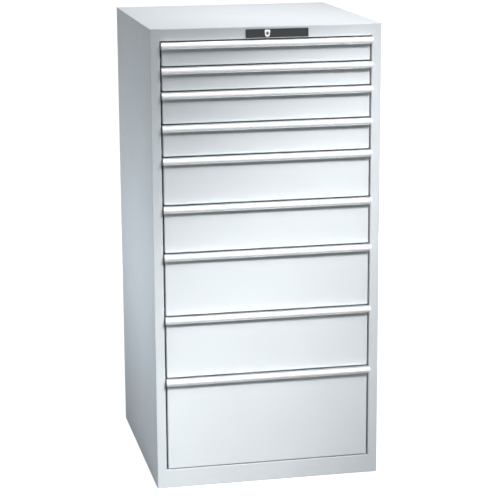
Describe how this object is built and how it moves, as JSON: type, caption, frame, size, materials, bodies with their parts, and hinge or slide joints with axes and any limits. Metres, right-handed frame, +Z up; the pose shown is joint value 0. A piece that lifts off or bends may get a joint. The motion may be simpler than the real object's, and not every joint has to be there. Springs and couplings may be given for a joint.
{
  "type": "workshop drawer cabinet",
  "caption": "Sheet steel drawer cabinet with full-extension drawers of graded heights, full-width grip rails and a central lock in the top fascia.",
  "frame": {"origin": "middle of the base sheet on the floor, midway between the side panels and between the housing front and back", "axes": "+X to the right as seen from the front, +Y from the drawer fronts to the back, +Z up"},
  "size_m": [0.717, 0.7482, 1.45],
  "materials": {
    "housing_paint": "light grey powder coat, fine orange peel",
    "front_paint": "light grey powder coat, fine orange peel",
    "tray_paint": "light grey powder coat",
    "grip_aluminium": "satin, pale anodised",
    "grip_plastic": "clear-covered white label strip and white end caps",
    "runner_steel": "zinc plated",
    "upright_steel": "light grey powder coat",
    "rivet_steel": "zinc plated",
    "plate_black": "dark grey, satin",
    "escutcheon_chrome": "satin chrome",
    "lock_metal": "nickel plated",
    "lock_steel": "zinc plated"
  },
  "bodies": {
    "housing": {"left_side_panel": "housing_paint", "right_side_panel": "housing_paint", "top_cover": "housing_paint", "base_pan": "housing_paint", "rear_panel": "housing_paint", "rear_panel_rivets": "rivet_steel", "slotted_uprights": "upright_steel", "cabinet_rails": "runner_steel", "lock_plate": "plate_black", "lock_escutcheon": "escutcheon_chrome", "lock_housing": "lock_metal", "locking_bar_guides": "lock_steel"},
    "lock_rotor": {"lock_cylinder": "lock_metal", "lock_shaft": "lock_steel"},
    "locking_bar": {"locking_bar": "lock_steel"},
    "drawer_1": {"drawer_1_tray": "tray_paint", "drawer_1_front": "front_paint", "drawer_1_grip": "grip_aluminium", "drawer_1_grip_trim": "grip_plastic"},
    "slides_1": {"drawer_1_slides": "runner_steel"},
    "drawer_2": {"drawer_2_tray": "tray_paint", "drawer_2_front": "front_paint", "drawer_2_grip": "grip_aluminium", "drawer_2_grip_trim": "grip_plastic"},
    "slides_2": {"drawer_2_slides": "runner_steel"},
    "drawer_3": {"drawer_3_tray": "tray_paint", "drawer_3_front": "front_paint", "drawer_3_grip": "grip_aluminium", "drawer_3_grip_trim": "grip_plastic"},
    "slides_3": {"drawer_3_slides": "runner_steel"},
    "drawer_4": {"drawer_4_tray": "tray_paint", "drawer_4_front": "front_paint", "drawer_4_grip": "grip_aluminium", "drawer_4_grip_trim": "grip_plastic"},
    "slides_4": {"drawer_4_slides": "runner_steel"},
    "drawer_5": {"drawer_5_tray": "tray_paint", "drawer_5_front": "front_paint", "drawer_5_grip": "grip_aluminium", "drawer_5_grip_trim": "grip_plastic"},
    "slides_5": {"drawer_5_slides": "runner_steel"},
    "drawer_6": {"drawer_6_tray": "tray_paint", "drawer_6_front": "front_paint", "drawer_6_grip": "grip_aluminium", "drawer_6_grip_trim": "grip_plastic"},
    "slides_6": {"drawer_6_slides": "runner_steel"},
    "drawer_7": {"drawer_7_tray": "tray_paint", "drawer_7_front": "front_paint", "drawer_7_grip": "grip_aluminium", "drawer_7_grip_trim": "grip_plastic"},
    "slides_7": {"drawer_7_slides": "runner_steel"},
    "drawer_8": {"drawer_8_tray": "tray_paint", "drawer_8_front": "front_paint", "drawer_8_grip": "grip_aluminium", "drawer_8_grip_trim": "grip_plastic"},
    "slides_8": {"drawer_8_slides": "runner_steel"},
    "drawer_9": {"drawer_9_tray": "tray_paint", "drawer_9_front": "front_paint", "drawer_9_grip": "grip_aluminium", "drawer_9_grip_trim": "grip_plastic"},
    "slides_9": {"drawer_9_slides": "runner_steel"}
  },
  "joints": [
    {"name": "drawer_1_travel", "type": "slide", "parent": "housing", "child": "drawer_1", "axis": [0, -1, 0], "range_m": [0, 0.612]},
    {"name": "slides_1_travel", "type": "slide", "parent": "housing", "child": "slides_1", "axis": [0, -1, 0], "range_m": [0, 0.306]},
    {"name": "drawer_2_travel", "type": "slide", "parent": "housing", "child": "drawer_2", "axis": [0, -1, 0], "range_m": [0, 0.612]},
    {"name": "slides_2_travel", "type": "slide", "parent": "housing", "child": "slides_2", "axis": [0, -1, 0], "range_m": [0, 0.306]},
    {"name": "drawer_3_travel", "type": "slide", "parent": "housing", "child": "drawer_3", "axis": [0, -1, 0], "range_m": [0, 0.612]},
    {"name": "slides_3_travel", "type": "slide", "parent": "housing", "child": "slides_3", "axis": [0, -1, 0], "range_m": [0, 0.306]},
    {"name": "drawer_4_travel", "type": "slide", "parent": "housing", "child": "drawer_4", "axis": [0, -1, 0], "range_m": [0, 0.612]},
    {"name": "slides_4_travel", "type": "slide", "parent": "housing", "child": "slides_4", "axis": [0, -1, 0], "range_m": [0, 0.306]},
    {"name": "drawer_5_travel", "type": "slide", "parent": "housing", "child": "drawer_5", "axis": [0, -1, 0], "range_m": [0, 0.612]},
    {"name": "slides_5_travel", "type": "slide", "parent": "housing", "child": "slides_5", "axis": [0, -1, 0], "range_m": [0, 0.306]},
    {"name": "drawer_6_travel", "type": "slide", "parent": "housing", "child": "drawer_6", "axis": [0, -1, 0], "range_m": [0, 0.612]},
    {"name": "slides_6_travel", "type": "slide", "parent": "housing", "child": "slides_6", "axis": [0, -1, 0], "range_m": [0, 0.306]},
    {"name": "drawer_7_travel", "type": "slide", "parent": "housing", "child": "drawer_7", "axis": [0, -1, 0], "range_m": [0, 0.612]},
    {"name": "slides_7_travel", "type": "slide", "parent": "housing", "child": "slides_7", "axis": [0, -1, 0], "range_m": [0, 0.306]},
    {"name": "drawer_8_travel", "type": "slide", "parent": "housing", "child": "drawer_8", "axis": [0, -1, 0], "range_m": [0, 0.612]},
    {"name": "slides_8_travel", "type": "slide", "parent": "housing", "child": "slides_8", "axis": [0, -1, 0], "range_m": [0, 0.306]},
    {"name": "drawer_9_travel", "type": "slide", "parent": "housing", "child": "drawer_9", "axis": [0, -1, 0], "range_m": [0, 0.612]},
    {"name": "slides_9_travel", "type": "slide", "parent": "housing", "child": "slides_9", "axis": [0, -1, 0], "range_m": [0, 0.306]},
    {"name": "locking_bar_lift", "type": "slide", "parent": "housing", "child": "locking_bar", "axis": [0, 0, 1], "range_m": [0, 0.01273]},
    {"name": "lock_turn", "type": "hinge", "parent": "housing", "child": "lock_rotor", "pos_m": [0, -0.368, 1.429], "axis": [0, 1, 0], "range_deg": [0, 90]}
  ],
  "couplings": [
    {"joint": "slides_1_travel", "follows": "drawer_1_travel", "ratio": 0.5},
    {"joint": "slides_2_travel", "follows": "drawer_2_travel", "ratio": 0.5},
    {"joint": "slides_3_travel", "follows": "drawer_3_travel", "ratio": 0.5},
    {"joint": "slides_4_travel", "follows": "drawer_4_travel", "ratio": 0.5},
    {"joint": "slides_5_travel", "follows": "drawer_5_travel", "ratio": 0.5},
    {"joint": "slides_6_travel", "follows": "drawer_6_travel", "ratio": 0.5},
    {"joint": "slides_7_travel", "follows": "drawer_7_travel", "ratio": 0.5},
    {"joint": "slides_8_travel", "follows": "drawer_8_travel", "ratio": 0.5},
    {"joint": "slides_9_travel", "follows": "drawer_9_travel", "ratio": 0.5},
    {"joint": "lock_turn", "follows": "locking_bar_lift", "rad_per_m": 123.41}
  ]
}
